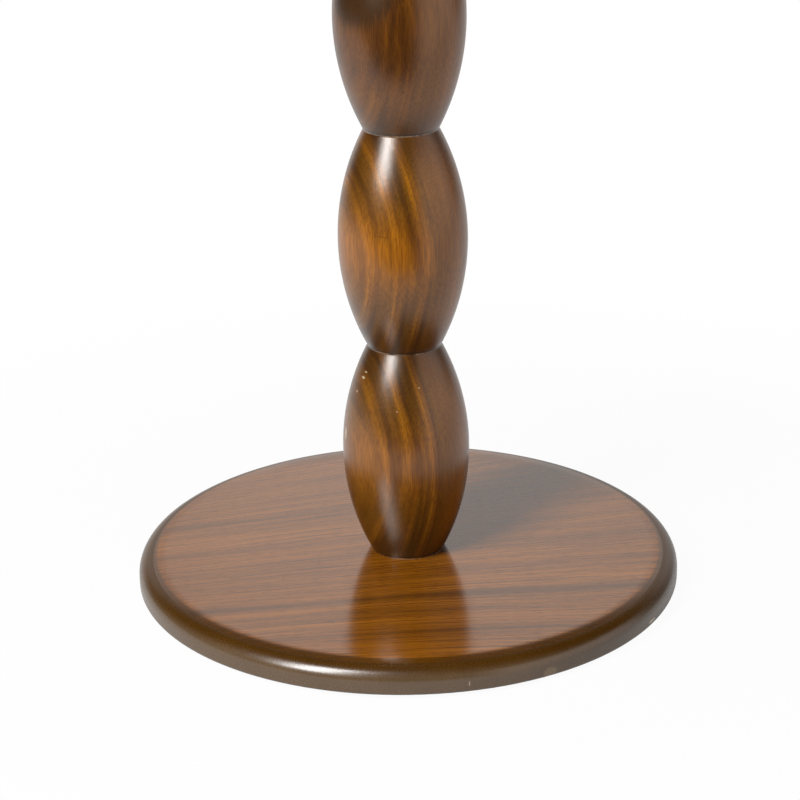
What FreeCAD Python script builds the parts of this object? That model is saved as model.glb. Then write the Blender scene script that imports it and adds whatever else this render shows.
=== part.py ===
import FreeCAD, Part
import math
import os
import Sketcher

# Wine table: a round veneered plinth, a turned bobbin column and a round veneered top.
# Millimetres, Z up, origin on the floor under the centre of the plinth.

doc = FreeCAD.newDocument("wine_table")
sheet = doc.addObject("Spreadsheet::Sheet", "Sizes")

SIZES = [
    # plinth and tabletop boards
    ("base_diameter", 300.0),
    ("top_diameter", 350.0),
    ("core_thickness", 14.0),
    ("veneer_thickness", 0.5),
    ("edge_round", 8.0),
    ("edge_ease", 60.0),
    ("ease_width", 9.0),
    ("lower_round", 2.0),
    # turned column
    ("bead_count", 4),
    ("bead_pitch", 120.0),
    ("bead_diameter", 69.4),
    ("neck_diameter", 40.0),
    ("neck_fillet", 0.8),
    # felt pads under the plinth
    ("pad_count", 4),
    ("pad_diameter", 25.0),
    ("pad_thickness", 2.0),
    ("pad_circle", 230.0),
    ("pad_bearing", 45.0),
    # M8 bolts and the inserts they screw into
    ("bolt_diameter", 8.0),
    ("bolt_tip_break", 0.8),
    ("bolt_hole_clearance", 0.5),
    ("thread_clearance", 0.1),
    ("hex_key", 5.0),
    ("hex_depth", 2.0),
    ("insert_diameter", 12.0),
    ("insert_length", 25.0),
    ("insert_lead", 1.0),
    ("insert_setback", 1.0),
    ("insert_clearance", 0.1),
    ("bore_run_out", 8.0),
    # bolt and washers in the counterbore of the plinth
    ("base_bolt_length", 30.0),
    ("bolt_head_diameter", 17.0),
    ("bolt_head_height", 3.0),
    ("bolt_head_break", 0.6),
    ("head_recess", 1.0),
    ("spring_washer_diameter", 14.8),
    ("spring_washer_thickness", 2.0),
    ("spring_washer_turn", 348.0),
    ("flat_washer_diameter", 24.0),
    ("flat_washer_thickness", 1.6),
    ("washer_clearance", 0.2),
    ("counterbore_clearance", 1.0),
    # mounting plate under the tabletop
    ("plate_diameter", 100.0),
    ("plate_thickness", 4.0),
    ("plate_edge_break", 0.5),
    ("plate_bolt_length", 25.0),
    ("countersink_land", 0.5),
    ("countersink_clearance", 0.1),
    # wood screws from the plate into the tabletop
    ("screw_count", 4),
    ("screw_circle", 76.0),
    ("screw_diameter", 4.0),
    ("screw_head_diameter", 8.0),
    ("screw_length", 15.0),
    ("screw_point", 4.0),
    ("screw_tip_diameter", 0.6),
    ("screw_recess_width", 3.0),
    ("screw_recess_depth", 1.4),
    ("screw_clearance", 0.1),
    ("pilot_room", 0.5),
]


class Size:
    """A length that carries its value and the sheet expression that drives it."""

    def __init__(self, value, text):
        self.value = float(value)
        self.text = text

    @staticmethod
    def of(number):
        return number if isinstance(number, Size) else Size(number, repr(float(number)))

    def joined(self, other, sign, value):
        return Size(value, "(" + self.text + " " + sign + " " + other.text + ")")

    def __add__(self, other):
        other = Size.of(other)
        return self.joined(other, "+", self.value + other.value)

    def __sub__(self, other):
        other = Size.of(other)
        return self.joined(other, "-", self.value - other.value)

    def __mul__(self, other):
        other = Size.of(other)
        return self.joined(other, "*", self.value * other.value)

    def __truediv__(self, other):
        other = Size.of(other)
        return self.joined(other, "/", self.value / other.value)

    def __neg__(self):
        return Size(-self.value, "(0 - " + self.text + ")")

    def root(self):
        return Size(math.sqrt(self.value), "sqrt(" + self.text + ")")


size = {}
for row, (alias, number) in enumerate(SIZES, start=1):
    sheet.set("A" + str(row), alias)
    sheet.set("B" + str(row), str(number))
    sheet.setAlias("B" + str(row), alias)
    size[alias] = Size(number, "Sizes." + alias)
doc.recompute()

ZERO = Size(0.0, "0")
NEARLY_ZERO = 1e-6
# References that a sketch uses for its axes, its origin and the two ends of a side
SKETCH_AXIS = {"across": -1, "up": -2}
ORIGIN_POINT = (-1, 1)
SIDE_VERTICES = (1, 2)


def new_body(label, height):
    """An empty body whose local zero stands at a driven height of the assembly."""
    body = doc.addObject("PartDesign::Body", label)
    body.Label = label
    body.setExpression("Placement.Base.z", height.text)
    return body


def origin_part(body, role):
    return [part for part in body.Origin.OriginFeatures if part.Role == role][0]


def new_sketch(body, plane, name):
    sketch = body.newObject("Sketcher::SketchObject", name)
    sketch.AttachmentSupport = [(origin_part(body, plane), "")]
    sketch.MapMode = "FlatFace"
    return sketch


def bind(sketch, kind, references, length):
    """Add one dimension to a sketch and drive it from the sheet."""
    index = sketch.addConstraint(Sketcher.Constraint(kind, *references, length.value))
    sketch.setExpression("Constraints[" + str(index) + "]", length.text)


def pin_point(sketch, geometry, vertex, point):
    """Fix a sketch point by driven distances from the origin, or on an axis where they are zero."""
    across, up = point
    if abs(across.value) < NEARLY_ZERO:
        sketch.addConstraint(Sketcher.Constraint("PointOnObject", geometry, vertex, SKETCH_AXIS["up"]))
    else:
        bind(sketch, "DistanceX", (*ORIGIN_POINT, geometry, vertex), across)
    if abs(up.value) < NEARLY_ZERO:
        sketch.addConstraint(Sketcher.Constraint("PointOnObject", geometry, vertex, SKETCH_AXIS["across"]))
    else:
        bind(sketch, "DistanceY", (*ORIGIN_POINT, geometry, vertex), up)


def flat(point):
    return FreeCAD.Vector(point[0].value, point[1].value, 0)


def arc_between(start, end, radius):
    """Arc that runs anticlockwise from start to end and takes less than half a turn."""
    chord = end - start
    middle = (start + end) * 0.5
    reach = math.sqrt(radius * radius - chord.Length * chord.Length / 4)
    centre = middle + FreeCAD.Vector(-chord.y, chord.x, 0).normalize() * reach
    first = math.atan2(start.y - centre.y, start.x - centre.x)
    last = math.atan2(end.y - centre.y, end.x - centre.x)
    return Part.ArcOfCircle(Part.Circle(centre, FreeCAD.Vector(0, 0, 1), radius), first, last)


def add_outline(sketch, corners, arcs=None, hollows=None):
    """Closed anticlockwise outline; a side is an arc or a hollow where its first corner has a radius."""
    arcs = arcs or {}
    hollows = hollows or {}
    sides = []
    for number, corner in enumerate(corners):
        start = flat(corner)
        end = flat(corners[(number + 1) % len(corners)])
        first, last = SIDE_VERTICES
        if number in arcs:
            curve = arc_between(start, end, arcs[number].value)
        elif number in hollows:
            curve = arc_between(end, start, hollows[number].value)
            last, first = SIDE_VERTICES
        else:
            curve = Part.LineSegment(start, end)
        sides.append((sketch.addGeometry(curve, False), first, last))
    for number, (side, first, last) in enumerate(sides):
        following, following_first, following_last = sides[(number + 1) % len(sides)]
        sketch.addConstraint(Sketcher.Constraint("Coincident", side, last, following, following_first))
    for number, (side, first, last) in enumerate(sides):
        pin_point(sketch, side, first, corners[number])
        radius = arcs.get(number) or hollows.get(number)
        if radius:
            bind(sketch, "Radius", (side,), radius)


def upright_axis(sketch, across, height):
    """Construction line parallel to Z that a hole away from the middle is turned about."""
    ends = [(across, ZERO), (across, height)]
    line = sketch.addGeometry(Part.LineSegment(flat(ends[0]), flat(ends[1])), True)
    for vertex, end in zip(SIDE_VERTICES, ends):
        pin_point(sketch, line, vertex, end)


def turn(body, kind, sketch, name, axis="V_Axis"):
    """Revolution or Groove of a sketch in the XZ plane by a full turn."""
    feature = body.newObject("PartDesign::" + kind, name)
    feature.Profile = sketch
    feature.ReferenceAxis = (sketch, [axis])
    feature.Angle = 360
    return feature


def turned_body(label, height, corners, arcs=None):
    """A body turned about Z from one outline."""
    body = new_body(label, height)
    sketch = new_sketch(body, "XZ_Plane", label + "_outline")
    add_outline(sketch, corners, arcs)
    turn(body, "Revolution", sketch, label + "_turned")
    return body


def repeat_round(body, feature, count, name):
    """Copies of a feature spread evenly about Z."""
    pattern = body.newObject("PartDesign::PolarPattern", name)
    pattern.Originals = [feature]
    pattern.Axis = (origin_part(body, "Z_Axis"), [""])
    pattern.Angle = 360
    pattern.setExpression("Occurrences", count.text)
    body.Tip = pattern


def repeat_up(body, feature, count, length, name):
    """Copies of a feature spread evenly along Z over a driven length."""
    pattern = body.newObject("PartDesign::LinearPattern", name)
    pattern.Originals = [feature]
    pattern.Direction = (origin_part(body, "Z_Axis"), [""])
    pattern.setExpression("Length", length.text)
    pattern.setExpression("Occurrences", count.text)
    body.Tip = pattern


def hex_socket(body, into_plus_z, name):
    """Hexagon socket for a key, sunk into the face of a bolt head at local zero."""
    half = size["hex_key"] / 2
    corner = half / math.cos(math.radians(30))
    sketch = new_sketch(body, "XY_Plane", name + "_outline")
    right = [(corner / 2, -half), (corner, ZERO), (corner / 2, half)]
    left = [(-(corner / 2), half), (-corner, ZERO), (-(corner / 2), -half)]
    add_outline(sketch, right + left)
    pocket = body.newObject("PartDesign::Pocket", name)
    pocket.Profile = sketch
    pocket.Reversed = into_plus_z
    pocket.setExpression("Length", size["hex_depth"].text)


# Heights of the assembly, from the floor up

veneer = size["veneer_thickness"]
core = size["core_thickness"]
board_thickness = core + veneer * 2
column_height = size["bead_count"] * size["bead_pitch"]

base_underside = size["pad_thickness"]
foot_level = base_underside + board_thickness
head_level = foot_level + column_height
top_underside = head_level + size["plate_thickness"]

bolt_radius = size["bolt_diameter"] / 2
bolt_hole_radius = bolt_radius + size["bolt_hole_clearance"]
thread_hole_radius = bolt_radius + size["thread_clearance"]
washer_stack = size["flat_washer_thickness"] + size["spring_washer_thickness"]
counterbore_depth = size["head_recess"] + size["bolt_head_height"] + washer_stack
counterbore_radius = size["flat_washer_diameter"] / 2 + size["counterbore_clearance"]
screw_offset = size["screw_circle"] / 2
screw_hole_radius = size["screw_diameter"] / 2 + size["screw_clearance"]
screw_head_depth = (size["screw_head_diameter"] - size["screw_diameter"]) / 2

# Rim of both boards: a small round below, and above it a cutter's round that a long shallow arc,
# left by sanding, eases into the face. The two upper arcs share a tangent, so one slope serves both.
edge = size["edge_round"]
ease = size["edge_ease"]
lower = size["lower_round"]
ease_rise = (ease * ease - size["ease_width"] * size["ease_width"]).root()
ease_drop = ease - ease_rise
edge_inset = edge - edge * size["ease_width"] / ease
edge_height = edge * ease_rise / ease
face_inset = edge_inset + size["ease_width"]
# Widths that the lower round and the shallow arc gain while they cross a veneer
lower_flare = (lower * veneer * 2 - veneer * veneer).root()
face_flare = (ease * veneer * 2 - veneer * veneer).root()


def back_veneer(label, height, radius, hole_radius):
    """Balancing veneer of an underside; the lower round starts in its rim."""
    return turned_body(label, height, [
        (hole_radius, ZERO),
        (radius - lower, ZERO),
        (radius - lower + lower_flare, veneer),
        (hole_radius, veneer),
    ], {1: lower})


def core_rim(radius):
    """Corners of a core's rim, from its underside to its face."""
    return [
        (radius - lower + lower_flare, ZERO),
        (radius, lower - veneer),
        (radius, core + veneer - ease_drop - edge_height),
        (radius - edge_inset, core + veneer - ease_drop),
        (radius - face_inset + face_flare, core),
    ]


def face_veneer(label, height, radius, hole_radius):
    """Show veneer of an upper face; the shallow arc of the rim runs out through it."""
    return turned_body(label, height, [
        (hole_radius, ZERO),
        (radius - face_inset + face_flare, ZERO),
        (radius - face_inset, veneer),
        (hole_radius, veneer),
    ], {1: ease})


# Arcs of a core, by the corner that each starts from, where one corner comes before its rim
CORE_ARCS = {1: lower, 3: edge, 4: ease}


def screw_holes(body, depth, name):
    """Plain screw holes on the screw circle, sunk upwards from local zero."""
    sketch = new_sketch(body, "XZ_Plane", name + "_outline")
    upright_axis(sketch, screw_offset, depth)
    add_outline(sketch, [
        (screw_offset, ZERO),
        (screw_offset + screw_hole_radius, ZERO),
        (screw_offset + screw_hole_radius, depth),
        (screw_offset, depth),
    ])
    hole = turn(body, "Groove", sketch, name, "Axis0")
    repeat_round(body, hole, size["screw_count"], name + "_ring")


def build_pads():
    """Self-adhesive felt discs under the plinth."""
    pads = []
    for number in range(int(size["pad_count"].value)):
        pad = doc.addObject("Part::Cylinder", "felt_pad_" + str(number + 1))
        pad.Label = "felt_pad_" + str(number + 1)
        pad.setExpression("Radius", (size["pad_diameter"] / 2).text)
        pad.setExpression("Height", size["pad_thickness"].text)
        bearing = "(Sizes.pad_bearing + 360 * " + str(number) + " / Sizes.pad_count) * 1 deg"
        for axis, part in (("x", "cos"), ("y", "sin")):
            place = "Sizes.pad_circle / 2 * " + part + "(" + bearing + ")"
            pad.setExpression("Placement.Base." + axis, place)
        pads.append(pad)
    return pads


def build_base():
    """Plinth board between its two veneers, with a counterbored hole for the bolt."""
    radius = size["base_diameter"] / 2
    core_bore = counterbore_depth - veneer
    panel = turned_body("base_panel", base_underside + veneer, [
        (counterbore_radius, ZERO),
        *core_rim(radius),
        (bolt_hole_radius, core),
        (bolt_hole_radius, core_bore),
        (counterbore_radius, core_bore),
    ], CORE_ARCS)
    back = back_veneer("base_back_veneer", base_underside, radius, counterbore_radius)
    face = face_veneer("base_face_veneer", base_underside + veneer + core, radius, bolt_hole_radius)
    return [panel, back, face]


def build_base_bolt():
    """Flat-head furniture bolt, head down, that pulls the column onto the plinth."""
    head = size["bolt_head_diameter"] / 2
    break_edge = size["bolt_head_break"]
    head_top = size["bolt_head_height"]
    tip = head_top + size["base_bolt_length"]
    tip_break = size["bolt_tip_break"]
    bolt = turned_body("base_bolt", base_underside + size["head_recess"], [
        (ZERO, ZERO),
        (head - break_edge, ZERO),
        (head, break_edge),
        (head, head_top),
        (bolt_radius, head_top),
        (bolt_radius, tip - tip_break),
        (bolt_radius - tip_break, tip),
        (ZERO, tip),
    ])
    hex_socket(bolt, True, "base_bolt_socket")
    return bolt


def build_base_washers():
    """Split spring washer on the bolt head and a wide flat washer on the board."""
    hole = bolt_radius + size["washer_clearance"]
    spring_level = base_underside + size["head_recess"] + size["bolt_head_height"]
    spring_radius = size["spring_washer_diameter"] / 2
    spring_thickness = size["spring_washer_thickness"]
    spring = turned_body("base_spring_washer", spring_level, [
        (hole, ZERO),
        (spring_radius, ZERO),
        (spring_radius, spring_thickness),
        (hole, spring_thickness),
    ])
    spring.Tip.setExpression("Angle", size["spring_washer_turn"].text)
    flat_radius = size["flat_washer_diameter"] / 2
    flat_thickness = size["flat_washer_thickness"]
    flat_washer = turned_body("base_flat_washer", spring_level + spring_thickness, [
        (hole, ZERO),
        (flat_radius, ZERO),
        (flat_radius, flat_thickness),
        (hole, flat_thickness),
    ])
    return [spring, flat_washer]


def build_column():
    """One bobbin turned from arcs with softened necks, repeated up the column and bored at both ends."""
    pitch = size["bead_pitch"]
    swell = (size["bead_diameter"] - size["neck_diameter"]) / 2
    bead_arc = (pitch * pitch / 4 + swell * swell) / (swell * 2)
    arc_middle = size["bead_diameter"] / 2 - bead_arc

    fillet = size["neck_fillet"]
    joined_radius = bead_arc + fillet
    reach = (joined_radius * joined_radius - pitch * pitch / 4).root()
    neck = arc_middle + reach - fillet
    blend = arc_middle + reach * bead_arc / joined_radius
    blend_height = pitch / 2 * fillet / joined_radius

    column = new_body("column", foot_level)
    bead_sketch = new_sketch(column, "XZ_Plane", "bead_outline")
    add_outline(bead_sketch, [
        (ZERO, ZERO),
        (neck, ZERO),
        (blend, blend_height),
        (blend, pitch - blend_height),
        (neck, pitch),
        (ZERO, pitch),
    ], {2: bead_arc}, {1: fillet, 3: fillet})
    bead = turn(column, "Revolution", bead_sketch, "bead")
    repeat_up(column, bead, size["bead_count"], column_height - pitch, "bead_row")

    insert_bore = size["insert_diameter"] / 2 + size["insert_clearance"]
    insert_depth = size["insert_setback"] + size["insert_length"]
    full_depth = insert_depth + size["bore_run_out"]
    bore_sketch = new_sketch(column, "XZ_Plane", "end_bore_outline")
    add_outline(bore_sketch, [
        (ZERO, ZERO),
        (insert_bore, ZERO),
        (insert_bore, insert_depth),
        (thread_hole_radius, insert_depth),
        (thread_hole_radius, full_depth),
        (ZERO, full_depth),
    ])
    add_outline(bore_sketch, [
        (ZERO, column_height - full_depth),
        (thread_hole_radius, column_height - full_depth),
        (thread_hole_radius, column_height - insert_depth),
        (insert_bore, column_height - insert_depth),
        (insert_bore, column_height),
        (ZERO, column_height),
    ])
    turn(column, "Groove", bore_sketch, "end_bores")
    return column


def build_insert(label, height, lead_up):
    """Threaded insert with its lead-in chamfer on the end that enters the wood first."""
    outer = size["insert_diameter"] / 2
    length = size["insert_length"]
    lead = size["insert_lead"]
    rim_up = [(outer, ZERO), (outer, length - lead), (outer - lead, length)]
    rim_down = [(outer - lead, ZERO), (outer, lead), (outer, length)]
    rim = rim_up if lead_up else rim_down
    return turned_body(label, height, [(thread_hole_radius, ZERO)] + rim + [(thread_hole_radius, length)])


def build_plate():
    """Steel plate on the column head, countersunk above for its bolt and below for the screws."""
    radius = size["plate_diameter"] / 2
    thickness = size["plate_thickness"]
    break_edge = size["plate_edge_break"]
    land = size["countersink_land"]
    bolt_hole = bolt_radius + size["countersink_clearance"]
    plate = turned_body("mounting_plate", head_level, [
        (bolt_hole, ZERO),
        (radius - break_edge, ZERO),
        (radius, break_edge),
        (radius, thickness - break_edge),
        (radius - break_edge, thickness),
        (bolt_hole + thickness - land, thickness),
        (bolt_hole, land),
    ])
    head = size["screw_head_diameter"] / 2 + size["screw_clearance"]
    sketch = new_sketch(plate, "XZ_Plane", "plate_hole_outline")
    upright_axis(sketch, screw_offset, thickness)
    add_outline(sketch, [
        (screw_offset, ZERO),
        (screw_offset + head, ZERO),
        (screw_offset + screw_hole_radius, screw_head_depth),
        (screw_offset + screw_hole_radius, thickness),
        (screw_offset, thickness),
    ])
    hole = turn(plate, "Groove", sketch, "plate_hole", "Axis0")
    repeat_round(plate, hole, size["screw_count"], "plate_holes")
    return plate


def build_plate_bolt():
    """Countersunk bolt, head flush with the plate, that screws down into the head insert."""
    cone = size["plate_thickness"] - size["countersink_land"]
    length = size["plate_bolt_length"]
    tip_break = size["bolt_tip_break"]
    bolt = turned_body("plate_bolt", top_underside, [
        (ZERO, -length),
        (bolt_radius - tip_break, -length),
        (bolt_radius, tip_break - length),
        (bolt_radius, -cone),
        (bolt_radius + cone, ZERO),
        (ZERO, ZERO),
    ])
    hex_socket(bolt, False, "plate_bolt_socket")
    return bolt


def build_plate_screws():
    """Countersunk wood screws, heads down, on the screw circle of the plate."""
    head = size["screw_head_diameter"] / 2
    shank = size["screw_diameter"] / 2
    length = size["screw_length"]
    tip = size["screw_tip_diameter"] / 2
    screws = []
    for number in range(int(size["screw_count"].value)):
        label = "plate_screw_" + str(number + 1)
        screw = turned_body(label, head_level, [
            (ZERO, ZERO),
            (head, ZERO),
            (shank, screw_head_depth),
            (shank, length - size["screw_point"]),
            (tip, length),
            (ZERO, length),
        ])
        bearing = "360 * " + str(number) + " / Sizes.screw_count * 1 deg"
        screw.setExpression("Placement.Base.x", screw_offset.text + " * cos(" + bearing + ")")
        screw.setExpression("Placement.Base.y", screw_offset.text + " * sin(" + bearing + ")")
        half = size["screw_recess_width"] / 2
        recess_sketch = new_sketch(screw, "XZ_Plane", label + "_recess_outline")
        add_outline(recess_sketch, [(ZERO, ZERO), (half, ZERO), (ZERO, size["screw_recess_depth"])])
        turn(screw, "Groove", recess_sketch, label + "_recess")
        screws.append(screw)
    group = doc.addObject("Part::Compound", "plate_screws")
    group.Label = "plate_screws"
    group.Links = screws
    return group


def build_top():
    """Tabletop board between its two veneers, drilled from below for the screws."""
    radius = size["top_diameter"] / 2
    panel = turned_body("top_panel", top_underside + veneer, [
        (ZERO, ZERO),
        *core_rim(radius),
        (ZERO, core),
    ], CORE_ARCS)
    bite = size["screw_length"] - size["plate_thickness"] - veneer
    screw_holes(panel, bite + size["pilot_room"], "pilot_hole")
    back = back_veneer("top_back_veneer", top_underside, radius, ZERO)
    screw_holes(back, veneer, "back_hole")
    face = face_veneer("top_face_veneer", top_underside + veneer + core, radius, ZERO)
    return [panel, back, face]


foot_insert_level = foot_level + size["insert_setback"]
head_insert_level = head_level - size["insert_setback"] - size["insert_length"]

subparts = build_pads()
subparts += build_base()
subparts.append(build_base_bolt())
subparts += build_base_washers()
subparts.append(build_insert("foot_insert", foot_insert_level, True))
subparts.append(build_column())
subparts.append(build_insert("head_insert", head_insert_level, False))
subparts.append(build_plate())
subparts.append(build_plate_bolt())
subparts.append(build_plate_screws())
subparts += build_top()
doc.recompute()

for item in doc.Objects:
    if "Invalid" in item.State or "Error" in item.State:
        raise RuntimeError(item.Label + " did not compute")

os.makedirs("parts", exist_ok=True)
for subpart in subparts:
    if subpart.Shape.isNull() or not subpart.Shape.isValid():
        raise RuntimeError(subpart.Label + " has no valid shape")
    subpart.Shape.exportStep("parts/" + subpart.Label + ".step")
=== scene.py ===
import bmesh
import bpy
import math
import random
from mathutils import Matrix, Vector


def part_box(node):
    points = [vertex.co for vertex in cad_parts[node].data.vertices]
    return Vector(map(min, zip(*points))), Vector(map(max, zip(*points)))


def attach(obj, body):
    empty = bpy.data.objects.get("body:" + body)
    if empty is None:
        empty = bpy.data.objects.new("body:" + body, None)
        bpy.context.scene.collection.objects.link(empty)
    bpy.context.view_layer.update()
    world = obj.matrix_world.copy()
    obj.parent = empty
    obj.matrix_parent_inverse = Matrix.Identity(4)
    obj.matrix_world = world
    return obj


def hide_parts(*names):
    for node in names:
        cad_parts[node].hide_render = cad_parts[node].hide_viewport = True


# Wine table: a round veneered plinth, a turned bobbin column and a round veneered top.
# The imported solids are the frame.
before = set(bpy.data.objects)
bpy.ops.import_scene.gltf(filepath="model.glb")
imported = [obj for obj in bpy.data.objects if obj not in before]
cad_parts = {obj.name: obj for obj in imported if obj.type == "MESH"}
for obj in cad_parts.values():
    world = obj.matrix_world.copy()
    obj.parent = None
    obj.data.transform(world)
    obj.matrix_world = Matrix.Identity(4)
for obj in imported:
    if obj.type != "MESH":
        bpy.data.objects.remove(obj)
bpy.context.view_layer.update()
MM = 0.001


# Felt pads: four discs die-cut from pressed brown wool felt, with an adhesive back.
# They are stuck under the plinth, so it stands 2 mm clear of the floor and doesn't scratch it.
# Here and below, sizes are in millimetres and angles in degrees.
PAD_NAMES = ("felt_pad_1", "felt_pad_2", "felt_pad_3", "felt_pad_4")
PAD_SIDES = 72
PAD_RADIUS = 12.5
PAD_ARRIS = 60.0
PAD_EDGE = 0.35
PAD_EDGE_STEPS = 3
PAD_FRAY = 0.12
PAD_SEED = 11
FELT_FIBRE = 1.1  # coarser than real fibre, so that it shows in a render
FELT_CLUMP = 4.0
FELT_TONES = ((0.12, "2f251d"), (0.45, "5b4a3b"))  # pattern level, colour
FELT_NAP = {"Strength": 0.6, "Distance": 0.4 * MM}


def linear(hex_colour):
    """Linear RGBA of an sRGB hex colour."""
    channels = [int(hex_colour[i:i + 2], 16) / 255 for i in (0, 2, 4)]
    return [c / 12.92 if c <= 0.04045 else ((c + 0.055) / 1.055) ** 2.4 for c in channels] + [1.0]


def set_inputs(tree, node, inputs):
    """Fill a node's inputs, each with a constant, a socket, or a node that gives its first live output."""
    for place, value in inputs.items():
        named = [socket for socket in node.inputs if socket.enabled and socket.name == place]
        target = named[0] if named else node.inputs[place]
        if isinstance(value, bpy.types.Node):
            value = next(socket for socket in value.outputs if socket.enabled)
        if isinstance(value, bpy.types.NodeSocket):
            tree.links.new(value, target)
        else:
            target.default_value = value


def add_node(tree, kind, inputs=None, stops=None, **settings):
    """One shader node; stops fill a ramp, each with a place and a hex colour or a share of white."""
    made = tree.nodes.new("ShaderNode" + kind)
    for setting, value in settings.items():
        setattr(made, setting, value)
    set_inputs(tree, made, inputs or {})
    for number, (position, tone) in enumerate(stops or []):
        ramp = made.color_ramp.elements
        stop = ramp[number] if number < len(ramp) else ramp.new(position)
        stop.position = position
        stop.color = linear(tone) if isinstance(tone, str) else (tone, tone, tone, 1.0)
    return made


def start_finish(name):
    """A new material: its node tree, its shader and Object coordinates in millimetres."""
    material = bpy.data.materials.new(name)
    material.use_nodes = True
    tree = material.node_tree
    shader = tree.nodes["Principled BSDF"]
    place = add_node(tree, "TexCoord").outputs["Object"]
    return material, tree, shader, add_node(tree, "Mapping", {"Vector": place, "Scale": (1 / MM,) * 3})


def finish_mesh(name, shape, sharp=40):
    """The object of a finished bmesh, smooth but for edges over the sharp angle in degrees."""
    mesh = bpy.data.meshes.new(name)
    shape.to_mesh(mesh)
    shape.free()
    mesh.shade_smooth()
    mesh.set_sharp_from_angle(angle=math.radians(sharp))
    piece = bpy.data.objects.new(name, mesh)
    bpy.context.scene.collection.objects.link(piece)
    return piece


# Pressed wool felt: matt and clumped, with loose fibres that catch a little light at the edge.
felt, tree, shader, place = start_finish("pressed_wool_felt")
fibre = add_node(tree, "TexNoise", {"Vector": place, "Scale": 1 / FELT_FIBRE, "Detail": 6.0})
clump = add_node(tree, "TexNoise", {"Vector": place, "Scale": 1 / FELT_CLUMP, "Detail": 3.0})
matted = add_node(tree, "Math", {0: fibre, 1: clump}, operation="MULTIPLY")
felt_tone = add_node(tree, "ValToRGB", {"Fac": matted}, stops=FELT_TONES)
felt_nap = add_node(tree, "Bump", {"Height": fibre, **FELT_NAP})
set_inputs(tree, shader, {"Base Color": felt_tone, "Normal": felt_nap, "Roughness": 0.95,
                          "Specular IOR Level": 0.2, "Sheen Weight": 0.35, "Sheen Roughness": 0.5})

fray = random.Random(PAD_SEED)
for pad_name in PAD_NAMES:
    low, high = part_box(pad_name)
    middle = (low + high) / 2
    shape = bmesh.new()
    bmesh.ops.create_circle(shape, cap_ends=True, segments=PAD_SIDES, radius=(PAD_RADIUS - PAD_FRAY) * MM,
                            matrix=Matrix.Translation((middle.x, middle.y, low.z)))
    lifted = bmesh.ops.extrude_face_region(shape, geom=shape.faces[:])
    raised = [part for part in lifted["geom"] if isinstance(part, bmesh.types.BMVert)]
    bmesh.ops.translate(shape, verts=raised, vec=(0, 0, high.z - low.z))
    bmesh.ops.recalc_face_normals(shape, faces=shape.faces[:])
    rim = [edge for edge in shape.edges if edge.calc_face_angle() > math.radians(PAD_ARRIS)]
    bmesh.ops.bevel(shape, geom=rim, offset=PAD_EDGE * MM, offset_type="OFFSET", affect="EDGES",
                    segments=PAD_EDGE_STEPS, profile=0.5, material=-1)
    for vertex in shape.verts:
        outward = Vector((vertex.co.x - middle.x, vertex.co.y - middle.y, 0))
        vertex.co += outward.normalized() * fray.uniform(-PAD_FRAY, PAD_FRAY) * MM
    pad = finish_mesh(pad_name + "_disc", shape)
    pad.data.materials.append(felt)
    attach(pad, "root")
    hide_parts(pad_name)


# Back veneers: plain brown balancing veneer pressed on the undersides of both boards.
# It keeps the boards flat, gets one thin coat of lacquer, and its lower arris is broken by sanding.
BACK_GRAIN_SIZE = (90.0, 3.5, 3.5)  # along X, Y and Z
BACK_TONES = ((0.32, "3d2412"), (0.68, "5e3c20"))
BACK_PORE_SIZE = (9.0, 0.9, 0.9)  # coarser than real pores, so that they show in a render
BACK_PORE_LIMITS = {"From Min": 0.56, "From Max": 0.66, "To Min": 0.0, "To Max": 0.45}
BACK_PORE_TONE = "241408"
BACK_RELIEF = {"Strength": 0.25, "Distance": 0.15 * MM}
BLEND = {"data_type": "RGBA"}


def coat_node(name, material):
    """Give a CAD node, whose shape is right as it is, the finish of the real piece."""
    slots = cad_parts[name].data.materials
    slots.clear()
    slots.append(material)


def per(*sizes):
    """Scale at which a pattern takes the given sizes."""
    return [1 / size for size in sizes]


# Lacquered balancing veneer: quiet straight grain with open pores under a thin satin coat.
back_veneer, tree, shader, place = start_finish("lacquered_back_veneer")
grain_place = add_node(tree, "Mapping", {"Vector": place, "Scale": per(*BACK_GRAIN_SIZE)})
grain = add_node(tree, "TexNoise", {"Vector": grain_place, "Scale": 1.0, "Detail": 5.0, "Roughness": 0.6})
grain_tone = add_node(tree, "ValToRGB", {"Fac": grain}, stops=BACK_TONES)
pore_place = add_node(tree, "Mapping", {"Vector": place, "Scale": per(*BACK_PORE_SIZE)})
pore = add_node(tree, "TexNoise", {"Vector": pore_place, "Scale": 1.0, "Detail": 2.0})
pore_depth = add_node(tree, "MapRange", {"Value": pore, **BACK_PORE_LIMITS})
with_pores = add_node(tree, "Mix", {"Factor": pore_depth, "A": grain_tone, "B": linear(BACK_PORE_TONE)},
                      **BLEND)
open_pores = add_node(tree, "Bump", {"Height": pore_depth, **BACK_RELIEF}, invert=True)
set_inputs(tree, shader, {"Base Color": with_pores, "Normal": open_pores, "Roughness": 0.42, "IOR": 1.5})
coat_node("base_back_veneer", back_veneer)


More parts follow.
